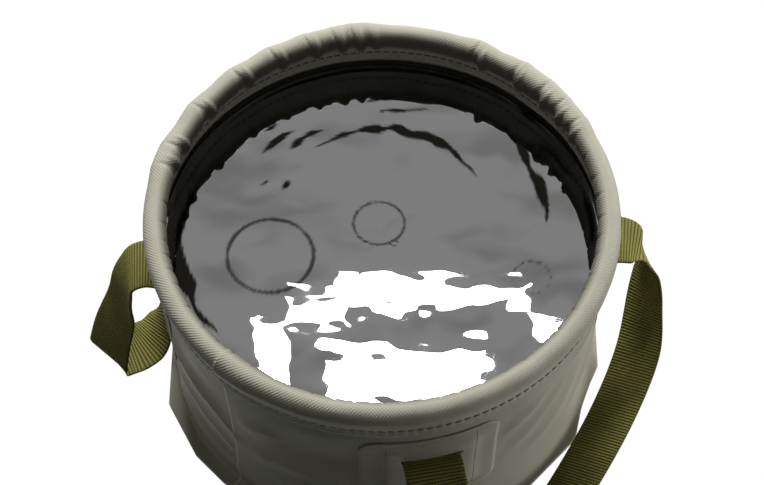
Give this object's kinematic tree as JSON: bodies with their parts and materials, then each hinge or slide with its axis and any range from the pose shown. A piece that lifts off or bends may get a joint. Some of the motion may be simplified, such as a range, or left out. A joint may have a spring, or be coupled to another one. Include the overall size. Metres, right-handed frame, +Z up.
{
  "type": "collapsible water bowl",
  "caption": "Soft round folding bowl of coated fabric on a flat base, with a hoop-stiffened rolled rim and webbing carry handles.",
  "frame": {"origin": "middle of the base's underside, on the bowl's axis", "axes": "+Z up along the bowl's axis, -Y towards the front anchor patch and the viewer, +X to the viewer's right"},
  "size_m": [0.4112, 0.4205, 0.1723],
  "materials": {
    "coated_fabric": "semi-gloss coated tarpaulin",
    "webbing": "matt ribbed webbing",
    "thread": "matt",
    "hoop_plastic": "plain extruded tube"
  },
  "bodies": {
    "bowl_base": {"base_disc": "coated_fabric", "wall_panel_front": "coated_fabric", "wall_panel_back": "coated_fabric", "anchor_patch_front": "coated_fabric", "anchor_patch_right": "coated_fabric", "anchor_patch_left": "coated_fabric", "anchor_patch_back": "coated_fabric", "strap_tail_front": "webbing", "strap_tail_right": "webbing", "strap_tail_left": "webbing", "strap_tail_back": "webbing"},
    "rim": {"rim_hoop": "hoop_plastic", "hoop_joiner": "hoop_plastic", "rim_hem_front": "coated_fabric", "rim_hem_back": "coated_fabric", "hem_thread": "thread"},
    "strap_roots": {"strap_root_front": "webbing", "strap_root_right": "webbing", "strap_root_left": "webbing", "strap_root_back": "webbing"},
    "handle_right": {"handle_right": "webbing"},
    "handle_left": {"handle_left": "webbing"}
  },
  "joints": [
    {"name": "collapse", "type": "slide", "parent": "bowl_base", "child": "rim", "axis": [0, 0, -1], "range_m": [0, 0.12], "deforming": ["wall_panel_front", "wall_panel_back", "anchor_patch_front", "anchor_patch_right", "anchor_patch_left", "anchor_patch_back", "strap_tail_front", "strap_tail_right", "strap_tail_left", "strap_tail_back"]},
    {"name": "strap_roots_lower", "type": "slide", "parent": "bowl_base", "child": "strap_roots", "axis": [0, 0, -1], "range_m": [0, 0.0885]},
    {"name": "handle_right_swing", "type": "hinge", "parent": "strap_roots", "child": "handle_right", "pos_m": [0.10461, -0.07601, 0.105], "axis": [-0.5878, -0.809, 0], "range_deg": [0, 130]},
    {"name": "handle_left_swing", "type": "hinge", "parent": "strap_roots", "child": "handle_left", "pos_m": [-0.09759, 0.08483, 0.105], "axis": [0.6561, 0.7547, 0], "range_deg": [0, 145]}
  ],
  "couplings": [
    {"joint": "strap_roots_lower", "follows": "collapse", "ratio": 0.73684}
  ]
}
